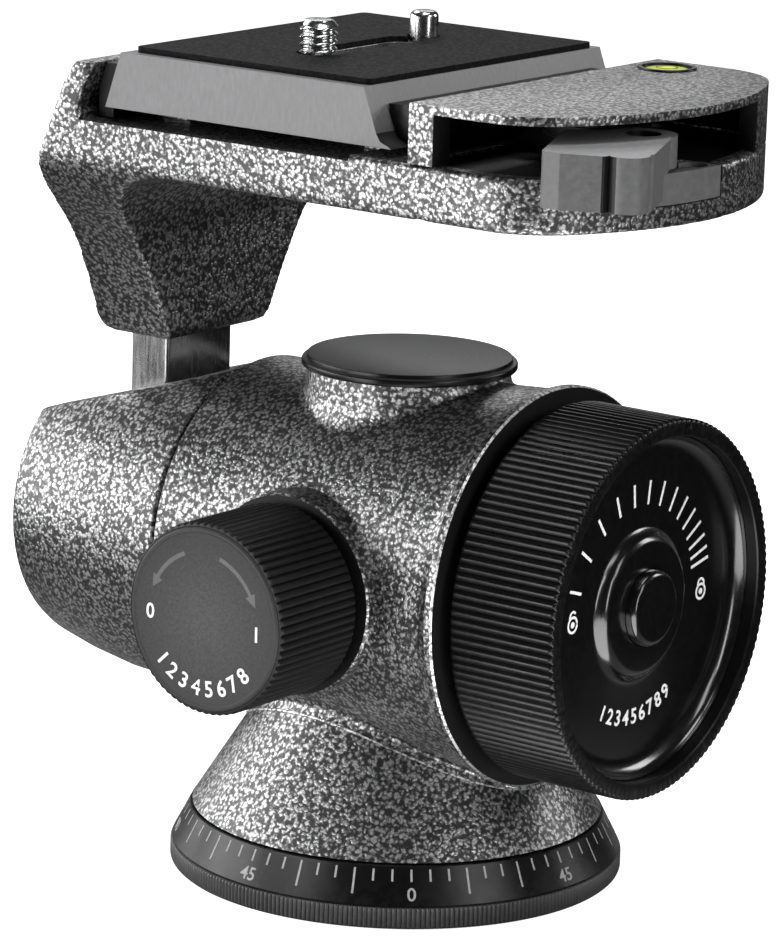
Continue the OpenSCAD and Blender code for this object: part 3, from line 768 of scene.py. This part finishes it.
# ---------------------------------------------------------------- knobs
def make_pan_knob():
    prof = [(5, -33.2), (14.75, -33.2), (15.35, -33.35), (15.65, -33.7), (15.75, -34.2), (15.75, -52.1), (15.7, -52.45), (15.55, -52.68), (15.3, -52.8), (15.1, -52.8), (15.1, -51.6), (5, -51.6)]
    depth = [0, 0, 0.12, 0.42, 0.55, 0.55, 0.48, 0.25, 0, 0, 0, 0]
    o = lathe(prof, 71 * 8, "y", (0, 0, PAN_Z), ribs=71, depth=depth, sharp=0.7)
    piece(o, "pan_knob_ribs", "pan_knob", M["black_nylon"], ["pan_knob_grip"], sharp=30)
    prof = turn([(0, -51.62), (15.03, -51.62), (15.03, -52.9), (14.73, -53.2), (14.25, -53.2), (14.1, -53.1), (0, -53.1)], [0, 0.1, 0.12, 0.15, 0.06, 0.06, 0])
    o = lathe(prof, 128, "y", (0, 0, PAN_Z))
    piece(o, "pan_knob_disc", "pan_knob", M["face_plastic"], ["pan_knob_face"], sharp=40)

    def on_face(cx, cz, tilt=0.0):
        c, s = math.cos(RAD(tilt)), math.sin(RAD(tilt))
        return lambda u, v, h: (cx + c * u - s * v, -53.1 - h, PAN_Z + cz + s * u + c * v)

    words = [inked([lettering("0", 3.5, 0.05)], on_face(-11.0, -0.4)), inked([lettering("1", 3.5, 0.05)], on_face(10.7, -0.5))]
    for k in range(8):
        t = -137 + 94 * k / 7
        words.append(inked([lettering(str(k + 1), 3.7, 0.06)], on_face(11.2 * math.cos(RAD(t)), 11.3 * math.sin(RAD(t)), t + 90)))
    piece(joined(words), "pan_knob_digits", "pan_knob", M["ink_white"], sharp=40)
    face = on_face(0, 0)

    def head(r, a, d):
        c = np.array([r * math.cos(RAD(a)), r * math.sin(RAD(a))])
        t = np.array([-math.sin(RAD(a)), math.cos(RAD(a))]) * d
        n = np.array([math.cos(RAD(a)), math.sin(RAD(a))])
        return [c + n * 1.05, c - n * 1.05, c + t * 2.1], [(0, 1, 2)]
    arrows = [bow(0, 0, 11.0, 112, 150, 0.7), head(11.0, 150, 1), bow(0, 0, 10.9, 74, 31, 0.7), head(10.9, 31, -1)]
    piece(joined([inked([s], face) for s in arrows]), "pan_knob_arrows", "pan_knob", M["ink_faint"], sharp=40)


def make_tilt_knob():
    o0 = (0, 0, AXIS_Z)
    prof = [(6.05, 36), (10, 36), (10, 43.5), (28.5, 43.5), (28.5, 32.3), (30.5, 32.3), (31.0, 32.45), (31.25, 32.8), (31.35, 33.3), (31.35, 51.55), (31.3, 51.85), (31.12, 52.08), (30.85, 52.2),
            (28.85, 52.2), (28.6, 52.1), (28.45, 51.85), (28.45, 46), (6.05, 46)]
    depth = [0, 0, 0, 0, 0, 0, 0.25, 0.5, 0.62, 0.62, 0.58, 0.42, 0.2, 0, 0, 0, 0, 0]
    o = lathe(prof, 134 * 8, "x", o0, ribs=134, depth=depth, sharp=0.75)
    piece(o, "tilt_knob_ribs", "tilt_knob", M["black_anodised"], ["tilt_knob_grip"], sharp=30)
    dish = [(25.1 + 3.2 * math.sin(RAD(a)), 49.9 - 2.4 * math.cos(RAD(a))) for a in range(90, -1, -5)]
    prof = [(6.45, 46.05), (28.3, 46.05), (28.3, 49.85)] + dish + [(19.5, 47.42), (13.5, 47.3)] + \
        spline([(13.5, 47.3), (12.8, 47.42), (12.15, 47.95), (11.55, 48.7), (10.8, 49.12), (10.0, 49.2)], 5)[1:] + [(6.45, 49.2)]
    o = lathe(prof, 192, "x", o0)
    piece(o, "tilt_knob_dish", "tilt_knob", M["gloss_black"], ["tilt_knob_face"], sharp=50)
    prof = turn([(0, 46.3), (6.3, 46.3), (6.3, 51.1), (0, 51.1)], [0, 0.1, 1.1, 0], 6)
    prof = prof[:-1] + [(4.4, 51.08), (3.6, 50.98), (0, 50.9)]
    o = lathe(prof, 96, "x", o0)
    piece(o, "tilt_knob_stud", "tilt_knob", M["gloss_black"], ["tilt_knob_button"], sharp=45)

    def depth_at(r):
        return 47.3 + max(0.0, (r - 13.5)) * 0.02 if r < 20.5 else 47.45 + (r - 20.5) * 0.055

    def on_dish(u, v, h):
        return (depth_at(math.hypot(u, v)) + h, u, AXIS_Z + v)
    marks = []
    for k, a in enumerate([163, 144.5, 127, 111, 97, 84, 72, 60.5, 50, 40.5, 32, 24.5, 18, 12.5]):
        r1 = 20.6
        r0 = r1 - 3.4 - 1.5 * k / 13
        c, s = math.cos(RAD(a)), math.sin(RAD(a))
        marks.append(inked([bar(r0 * c, r0 * s, r1 * c, r1 * s, 0.5, 4)], on_dish))

    def lock(cu, cv, tilt, shut):
        c, s = math.cos(RAD(tilt)), math.sin(RAD(tilt))
        shapes = [bow(0, -0.55, 1.25, 0, 360, 0.42, 28), bow(0, -0.55, 0.28, 0, 360, 0.5, 14)]
        shapes += [bow(0, 0.75, 0.85, 0 if shut else 35, 180, 0.4, 12), bar(-0.85, 0.75, -0.85, 0.3, 0.4)]
        if shut:
            shapes.append(bar(0.85, 0.75, 0.85, 0.3, 0.4))
        return [([(cu + c * u - s * v, cv + s * u + c * v) for u, v in p], f) for p, f in shapes]
    for sh in lock(-18.6, 0.9, 0, False) + lock(18.4, -0.6, 0, True):
        marks.append(inked([sh], on_dish))
    for k in range(9):
        t = -119 + 58 * k / 8
        c, s = math.cos(RAD(t + 90)), math.sin(RAD(t + 90))
        cu, cv = 18.6 * math.cos(RAD(t)), 18.6 * math.sin(RAD(t))
        p, f = lettering(str(k + 1), 3.6, 0.07)
        marks.append(inked([([(cu + c * u - s * v, cv + s * u + c * v) for u, v in p], f)], on_dish))
    piece(joined(marks), "tilt_knob_marks", "tilt_knob", M["ink_white"], sharp=40)


# ---------------------------------------------------------------- ball, arm and tray
def make_stem():
    th = [RAD(a) for a in range(0, 181, 5)]
    ball = lathe([(0 if k in (0, 36) else 14 * math.sin(t), -14 * math.cos(t)) for k, t in enumerate(th)], 96, "z", (-49, 0, AXIS_Z))
    o = prism(rnd([(-53.1, -8.7), (-44.9, -8.7), (-44.9, 8.7), (-53.1, 8.7)], 0.7, 5), AXIS_Z + 4, 104)
    add(o, ball)
    for z in (91, 100.5):
        cut(o, prism(arc(0, z, 2.55, 0, 350, 35), -60, -30, "x"))
    piece(o, "stem_ball", "ball", M["steel_stem"], ["ball_stem"], sharp=40)


SIDE = [(-41.6, 135.4), (-44.9, 135.4), (-45.7, 134.9), (-52.6, 118.6), (-53.4, 115.2), (-56.4, 89), (-56.2, 87), (-54.6, 85.7), (-42.4, 85.7), (-40.8, 86.6), (-40.5, 88)] \
    + arc(-26.5, 103.9, 14, 180, 90, 24) + [(64, 117.9), (64, 126.8), (-44.5, 126.8)]
HALF = [(11.6, 85.7), (12.9, 86.4)] + spline([(13.6, 87.6), (16.9, 94.3), (21.6, 102.5), (25.4, 107.2), (30.2, 112.4), (33.2, 116.2), (34.3, 118.6), (34.5, 120.6)], 5) + [(34.5, 131), (33, 137)]


def nose(x0, g=0.0, corner=15.0):
    """Plan of the tray's rounded nose from x0 outwards, g inside its edge, with filleted corners."""
    w, r = 34.5 - g, 52.0 - g
    c = max(0.5, corner - g)
    xc = 6.2 + math.sqrt((r - c) ** 2 - (w - c) ** 2)
    a = math.degrees(math.atan2(w - c, xc - 6.2))
    return [(x0, -w)] + arc(xc, c - w, c, -90, -a, 10) + arc(6.2, 0, r, -a, a, 72)[1:] + arc(xc, w - c, c, a, 90, 10)[1:] + [(x0, w)]


def make_platform():
    o = prism(SIDE, -40, 40, "y")
    plan = nose(-57)
    plan = rnd(plan, [6] + [0] * (len(plan) - 2) + [6], 8)
    keep(o, prism(plan, 80, 145))
    keep(o, prism(HALF + [(-y, z) for y, z in reversed(HALF)], -80, 80, "x"))
    cast(o, 0.58, 3)
    # lower floor with the lands that carry the plate
    floor = box(-43.9, -50, 125.8, 12.3, 50, 145)
    cut(floor, prism([(-70, 124), (-43.9, 124), (-40.4, 139), (-70, 139)], -60, 60, "y"))
    for x in (-36, 6):
        cut(floor, box(x, -22, 120, x + 6, 22, 128.1))
    cut(o, floor)
    # socket of the stem, cross bolts, pins, catch pocket, clamp screws
    cut(o, prism(rnd([(-53.2, -8.8), (-44.8, -8.8), (-44.8, 8.8), (-53.2, 8.8)], 0.75, 5), 80, 104.2))
    for z in (91, 100.5):
        cut(o, prism(arc(0, z, 2.6, 0, 350, 35), -61, -42.2, "x"), prism(arc(0, z, 4.2, 0, 350, 35), -61, -53.95, "x"))
    cut(o, rod(51.6, -10.4, 2.05, 119, 140), rod(55, -1.2, 1.65, 119, 140))
    cut(o, edge(box(50.5, -15.9, 121.4, 75, 2.6, 140), 0.5, 3))
    for s in (-1, 1):
        cut(o, rod(26.2, s * 31.9, 2.2, 110, 121.4), rod(26.2, s * 31.9, 1.6, 110, 130))
    cut(o, prism(nose(23.9, 2.6), 126.45, 140))
    o = piece(o, "arm_tray_casting", "ball", [M["hammer_paint"], M["black_nylon"]], ["platform_arm"], sharp=48)
    for f in o.data.polygons:  # the floor of the clamp's room is painted black as shade under the lid
        if f.normal.z > 0.9 and abs(f.center.z - 0.12645) < 0.00004 and f.center.x > 0.0238:
            f.material_index = 1

    o = prism([(-43.1, 125.9), (-39.8, 125.9), (-39.8, 128.3), (-37.45, 135.1), (-41.55, 135.1), (-43.1, 130.4)], -30, 30, "y")
    piece(edge(o, 0.25), "lip_liner", "ball", M["black_nylon"], ["jaw_liner"], sharp=40, weighted=True)


def make_clamp():
    deck = nose(23.9)
    o = prism(deck, 135, 136.4)
    wall = cut(prism(nose(23.9), 126.85, 135.2), prism(nose(10, 3.2), 120, 140), box(28.6, -60, 120, 90, 16, 140))
    add(o, wall, box(23.9, 30, 126.85, 28.6, 33, 135.2), box(23.9, -34.5, 126.85, 28.6, -30, 135.2), rod(31, 26.7, 6.4, 131, 135.5, 64))
    cut(o, rod(31, 26.7, 4.97, 120, 150, 64))
    for s in (-1, 1):
        cut(o, rod(26.2, s * 31.9, 1.45, 120, 131.6, 24))
    tidy(o, 1.5)
    edge(o, 0.32, 3, 50)
    o = piece(o, "clamp_lid", "ball", [M["hammer_paint"], M["black_nylon"]], ["clamp_cover"], sharp=38)
    for f in o.data.polygons:  # the room inside is painted black as shade
        c, n = f.center * 1000, f.normal
        if c.z < 135.1 and (n.z < -0.7 or (c.z > 127 and (c.x - 6.2) * n.x + c.y * n.y < -0.3 * math.hypot(c.x - 6.2, c.y) and c.x > 28.3) or (n.x > 0.9 and abs(c.x - 28.6) < 0.1)):
            f.material_index = 1

    pin = (51.6, -10.4)
    plan = [(49.9, -35.4), (50.7, -35.9), (53.5, -35.8), (59.8, -33.1), (60.0, -31.6), (64.4, -26.5), (57.8, -12.1), (52.6, -6.1), (47.2, -9.1), (45, -12.9), (40.8, -16.3)]
    grip = rnd(plan, [0.4, 0.3, 0.5, 0.5, 1.2, 2.0, 3.0, 2.0, 1.0, 1.0, 1.2], 5)
    cam = (pin[0] + 2.3 * math.cos(RAD(210)), pin[1] + 2.3 * math.sin(RAD(210)))
    o = prism(grip, 127.2, 132.2)
    add(o, rod(61.6, -29.1, 3.3, 127.2, 132.2, 40), rod(*pin, 5.4, 127.2, 132.2, 64), rod(*cam, 5.2, 127.2, 131.5, 64))
    tab = add(prism(grip, 123.5, 127.4), rod(61.6, -29.1, 3.3, 123.5, 127.4, 40))
    cut(tab, box(20, -17, 110, 80, 40, 140), rod(6.2, 0, 52.6, 110, 140, 240))
    add(o, tab)
    cut(o, rod(*pin, 2.06, 110, 140), rod(*pin, 2.9, 130.3, 140), rod(*pin, 3.9, 110, 129.4))
    tidy(o, 1.0)
    edge(o, 0.35, 3, 50)
    o = piece(o, "clamp_lever", "lever", [M["satin_grey"], M["lever_top_painted_light"], M["black_nylon"]], ["qr_lever"], sharp=40, weighted=True)
    for f in o.data.polygons:  # the top is painted lighter as lit; the counterbore and groove are painted black as shade
        c, n = f.center * 1000, f.normal
        if (math.hypot(c.x - pin[0], c.y - pin[1]) < 3.0 and c.z < 131.8) or (abs(n.z) < 0.5 and math.hypot(c.x - 60.2, c.y + 32.2) < 1.3):
            f.material_index = 2
        elif n.z > 0.4 and c.z > 131:
            f.material_index = 1

    o = prism([(19.7, 127.2), (19.7, 128.7), (17.5, 129.5), (16.65, 130.6), (15, 134.6), (22.2, 134.6), (23, 133.8), (23, 127.2)], -28, 28, "y")
    tongue = prism(rnd([(22.5, -8.5), (44.2, -8.5), (44.2, 4.5), (22.5, 4.5)], [0, 2.2, 2.2, 0], 6), 127.4, 131.3)
    add(o, tongue)
    tidy(o)
    edge(o, 0.25, 2, 50)
    piece(o, "jaw_bar", "jaw", M["black_anodised"], ["clamp_jaw"], sharp=40, weighted=True)

    c = (55, -1.2)
    a0 = math.degrees(math.asin(-15.2 / 52.05))
    a1 = math.degrees(math.asin(2.1 / 52.05))
    plan = arc(6.2, 0, 52.02, a0, a1, 20) + arc(c[0], c[1], 3.4, 60, 180, 16) + list(reversed(arc(6.2, 0, 49.3, a0 - 0.9, -3.0, 16)))
    o = prism(rnd(plan, 0), 121.6, 126.6)
    cut(o, rod(*c, 1.66, 110, 140, 32), rod(*c, 2.4, 125.5, 140, 40), rod(*c, 2.7, 110, 123.8, 40))
    tidy(o, 1.0)
    edge(o, 0.28, 3, 50)
    piece(o, "catch_lug", "catch", M["satin_grey"], ["safety_catch"], sharp=40, weighted=True)

    prof = turn([(0, 131.2), (4.9, 131.2), (4.9, 136.75), (4.12, 136.75), (4.12, 132), (0, 132)], [0, 0.1, 0.3, 0.12, 0, 0])
    o = lathe(prof, 96, "z", (31, 26.7, 0))
    piece(o, "level_ring", "ball", M["black_anodised"], ["level_bezel"], sharp=40)
    prof = [(0, 132.05), (4.08, 132.05), (4.08, 136.2), (3.6, 136.36), (2.6, 136.52), (1.3, 136.59), (0, 136.6)]
    o = lathe(prof, 96, "z", (31, 26.7, 0))
    piece(o, "level_dome", "ball", M["level_fluid"], ["level_vial"], sharp=60)
    circle = inked([bow(31, 26.7, 1.75, 0, 360, 0.22, 40)], lambda u, v, h: (u, v, 136.57 + h), -0.06, 0.03)
    piece(circle, "level_circle", "ball", M["black_nylon"], sharp=40)
    bub = lathe([(0, 136.4), (1.25, 136.5), (1.2, 136.62), (0.8, 136.68), (0, 136.7)], 40, "z", (31.2, 26.9, 0))
    piece(bub, "level_bubble", "ball", M["level_bubble"], sharp=60)


# ---------------------------------------------------------------- plate
def make_plate():
    px, sy, ty = -10.2, -13.8, 15.0
    o = prism([(-39.4, 128.2), (19.2, 128.2), (18.6, 128.6), (17, 129.2), (16.2, 130.4), (13.5, 137.5), (-36.3, 137.5)], -32.6, 32.6, "y")
    cut(o, prism(stadium(px, sy, sy + 8, 3.4), 120, 150), prism(stadium(px, sy, 9, 3.4), 134.4, 150), prism(stadium(px, sy, sy + 8, 8.4), 120, 133.6),
        rod(px, ty, 2.46, 120, 150), rod(px, ty, 3.5, 120, 133.6))
    tidy(o)
    edge(o, 0.3, 3, 50)
    o = piece(o, "plate_slab", "plate", [M["plate_metal"], M["steel_bright"], M["plate_painted_shade"]], ["qr_plate"], sharp=40, weighted=True)
    for f in o.data.polygons:  # machined walls of the slot
        c = f.center * 1000
        if abs(c.x - px) < 3.6 and sy - 3.6 < c.y < 12.6 and c.z > 134.3 and abs(f.normal.z) < 0.5:
            f.material_index = 1
        # the lower lip of the +X end is painted dark as shade
        elif c.x > 15.6 and c.z < 130.5:
            f.material_index = 2
    pad = rnd([(-34.8, -30.7), (13.3, -30.7), (13.3, 30.7), (-34.8, 30.7)], 1.2, 5)
    o = prism(pad, 137.52, 138.5)
    cut(o, prism(stadium(px, sy, 9, 3.6), 130, 150), rod(px, ty, 2.9, 130, 150))
    edge(o, 0.2, 2, 50)
    piece(o, "pad_sheet", "plate", M["rubber_black"], ["plate_pad"], sharp=40, weighted=True)

    rings = thread(3.175, 0.62, 1.27, 138.5, 143.2, px, sy)
    th = np.arange(48) * 2 * math.pi / 48

    def ring(r, z):
        return np.stack([px + r * np.cos(th), sy + r * np.sin(th), np.full(48, z)], -1)
    last = rings[-1] - np.array([px, sy, 0])
    o = loft([ring(7.4, 129.2), ring(7.85, 129.35), ring(8, 129.7), ring(8, 131.8), ring(7.85, 132.15), ring(7.5, 132.3), ring(2.9, 132.3), ring(2.6, 132.6), ring(2.6, 138.2)] + rings
             + [np.stack([px + last[:, 0] * 0.9, sy + last[:, 1] * 0.9, np.full(48, 143.6)], -1), ring(2.25, 143.95), ring(1.9, 144)])
    cut(o, box(px - 10, sy - 0.9, 128, px + 10, sy + 0.9, 130.6))
    piece(o, "camera_thread", "screw", M["steel_bright"], ["camera_screw"], sharp=55)
    prof = turn([(0, 132.2), (3.3, 132.2), (3.3, 133.5), (2.4, 133.5), (2.4, 142.8), (0, 142.8)], [0, 0.1, 0.1, 0, 1.0, 0], 6)
    piece(lathe(prof, 64, "z", (px, ty, 0)), "twist_stop", "twist_pin", M["steel_bright"], ["anti_twist_pin"], sharp=40)


def bubble():
    k = Mat("level_bubble", Specular_IOR_Level=0.15, Roughness=0.2)
    k.colour(k.ramp(k.noise(300, 2.0), [(0.3, (0.70, 0.76, 0.08)), (0.7, (0.80, 0.84, 0.16))]))
    return k.m


M["level_bubble"] = bubble()
make_base()
make_housing()
make_drum()
make_pan_knob()
make_tilt_knob()
make_stem()
make_platform()
make_clamp()
make_plate()

# ---------------------------------------------------------------- frame nodes that show as they are
FINISH = {
    "steel_plain": ["pan_spindle", "spindle_washer", "spindle_nut", "pan_lock_screw", "pan_brake_plunger", "tilt_lock_screw", "thrust_rod", "drum_flange", "lever_pin", "catch_pin",
                    "lever_spring", "catch_spring", "pin_spring", "pin_plug", "screw_retainer", "disc_springs", "drum_flange_screws", "tripod_bush", "ball_stem"],
    "steel_black": ["spindle_screws", "stem_bolts", "cover_screws"],
    "bronze": ["pan_bush", "tilt_lock_bush", "ball_seat"],
    "bearing_plastic": ["thrust_washer", "drum_friction_washer"],
    "hammer_paint": ["housing", "ball_drum", "platform_arm", "clamp_cover"],
    "black_anodised": ["base_dial", "top_cap", "tilt_knob_grip", "level_bezel", "clamp_jaw"],
    "gloss_black": ["tilt_knob_face", "tilt_knob_button"],
    "black_nylon": ["pan_knob_grip", "pan_knob_face", "jaw_liner"],
    "satin_grey": ["qr_lever", "safety_catch", "qr_plate"],
    "rubber_black": ["plate_pad"],
    "steel_bright": ["camera_screw", "anti_twist_pin"],
    "level_fluid": ["level_vial"],
}
for key, names in FINISH.items():
    for n in names:
        NODE[n].data.materials.clear()
        NODE[n].data.materials.append(M[key])
for n in ("spindle_screws", "stem_bolts", "cover_screws", "spindle_nut", "lever_pin", "catch_pin"):
    b = NODE[n].modifiers.new("e", "BEVEL")
    b.width, b.segments, b.limit_method, b.angle_limit = 0.0002, 2, "ANGLE", RAD(50)

# ---------------------------------------------------------------- floor, light, camera
scene.view_settings.view_transform = "Standard"
scene.view_settings.look = "None"

bpy.ops.mesh.primitive_plane_add(size=16, location=(0, 0, -0.00005))
floor = bpy.context.object
floor.name = "floor"
fm = bpy.data.materials.new("floor_pale")
fm.use_nodes = True
ft = fm.node_tree
fb = ft.nodes["Principled BSDF"]
fb.inputs["Roughness"].default_value = 0.9
fb.inputs["Specular IOR Level"].default_value = 0.1
fn = ft.nodes.new("ShaderNodeTexNoise")
fn.inputs["Scale"].default_value = 3
fr = ft.nodes.new("ShaderNodeValToRGB")
fr.color_ramp.elements[0].color = (0.80, 0.80, 0.80, 1)
fr.color_ramp.elements[1].color = (0.84, 0.84, 0.84, 1)
ft.links.new(fn.outputs["Fac"], fr.inputs["Fac"])
ft.links.new(fr.outputs["Color"], fb.inputs["Base Color"])
fe = ft.nodes.new("ShaderNodeEmission")
fe.inputs["Strength"].default_value = 0.93
fd = ft.nodes.new("ShaderNodeBsdfDiffuse")
fg = ft.nodes.new("ShaderNodeNewGeometry")
fl = ft.nodes.new("ShaderNodeVectorMath")
fl.operation = "LENGTH"
fc = ft.nodes.new("ShaderNodeValToRGB")  # the light table ends a hand's width around the part
fc.color_ramp.interpolation = "EASE"
fc.color_ramp.elements[0].position, fc.color_ramp.elements[1].position = 0.08, 0.18
fc.color_ramp.elements[0].color = (0.30, 0.30, 0.30, 1)
fc.color_ramp.elements[1].color = (0.015, 0.015, 0.015, 1)
ft.links.new(fg.outputs["Position"], fl.inputs[0])
ft.links.new(fl.outputs["Value"], fc.inputs["Fac"])
ft.links.new(fc.outputs["Color"], fd.inputs["Color"])
lp = ft.nodes.new("ShaderNodeLightPath")
fa = ft.nodes.new("ShaderNodeAddShader")
fx = ft.nodes.new("ShaderNodeMixShader")
fo = ft.nodes["Material Output"]
ft.links.new(fb.outputs[0], fa.inputs[0])
ft.links.new(fe.outputs[0], fa.inputs[1])
ft.links.new(lp.outputs["Is Camera Ray"], fx.inputs[0])
ft.links.new(fd.outputs[0], fx.inputs[1])
ft.links.new(fa.outputs[0], fx.inputs[2])
ft.links.new(fx.outputs[0], fo.inputs["Surface"])
floor.data.materials.append(fm)

world = bpy.data.worlds.new("studio")
scene.world = world
world.use_nodes = True
bg = world.node_tree.nodes["Background"]
bg.inputs["Color"].default_value = (0.9, 0.95, 1.0, 1)
bg.inputs["Strength"].default_value = 0.04

AZ, EL, ROLL = RAD(36.67), RAD(13.25), RAD(1.66)
back = Vector((math.sin(AZ) * math.cos(EL), -math.cos(AZ) * math.cos(EL), math.sin(EL)))
right = Vector((math.cos(AZ), math.sin(AZ), 0))
front = Vector((math.sin(AZ), -math.cos(AZ), 0))
up = right.cross(-back)


def lamp(name, side, toward, height, size, power, tall=None, aim=(0, 0, 0.075)):
    """A softbox placed from the camera's point of view: side is to its right, toward is towards it."""
    d = bpy.data.lights.new(name, "AREA")
    d.shape, d.size, d.size_y, d.energy = "RECTANGLE", size, tall or size, power
    o = bpy.data.objects.new(name, d)
    scene.collection.objects.link(o)
    o.location = right * side + front * toward + Vector((0, 0, height))
    o.rotation_euler = (Vector(aim) - o.location).to_track_quat("-Z", "Y").to_euler()
    o.visible_camera = False
    return o


lamp("key_left", -0.55, -0.06, 0.16, 0.36, 2.1, 0.30)
lamp("left_front", -0.38, 0.20, 0.09, 0.10, 0.42, 0.20)
lamp("left_near", -0.175, 0.170, 0.070, 0.05, 0.18, 0.12)
lamp("left_back", -0.42, -0.36, 0.15, 0.20, 0.55, 0.26)
lamp("left_high", -0.30, -0.40, 0.66, 0.20, 2.2, 0.20)
lamp("rim_right", 0.72, -0.22, 0.36, 0.20, 1.3, 0.28)
lamp("soft_right", 0.52, 0.40, 0.47, 0.16, 1.0, 0.36)
lamp("card_right", 0.33, 0.42, 0.15, 0.08, 0.60, 0.30, (0.0474, 0, 0.0533))
lamp("floor_card", 0.055, 0.165, 0.0015, 0.17, 0.44, 0.17, (0.1426, -0.0995, 1.0))
lamp("floor_left", -0.10, 0.13, 0.0015, 0.12, 0.11, 0.12, (-0.0026, -0.164, 1.0))
lamp("top_front", 0.0, 0.20, 0.50, 0.10, 0.14, 0.10)
lamp("back_wall", -0.02, -0.90, 0.36, 0.70, 0.30, 0.20)
lamp("back_high", 0.0, -0.90, 0.57, 0.35, 0.50, 0.10)
lamp("top_soft", 0.10, 0.05, 0.80, 0.30, 2.2)

cd = bpy.data.cameras.new("camera")
cam = bpy.data.objects.new("camera", cd)
scene.collection.objects.link(cam)
cd.sensor_fit, cd.sensor_height, cd.lens = "VERTICAL", 36.0, 4715.47 * 36 / 940
cd.clip_start, cd.clip_end = 0.05, 40
cx = right * math.cos(ROLL) + up * math.sin(ROLL)
cy = up * math.cos(ROLL) - right * math.sin(ROLL)
mw = Matrix((cx, cy, back)).transposed().to_4x4()
mw.translation = Vector((0.45557, -0.61678, 0.24849))
cam.matrix_world = mw
scene.camera = cam

bpy.context.view_layer.update()
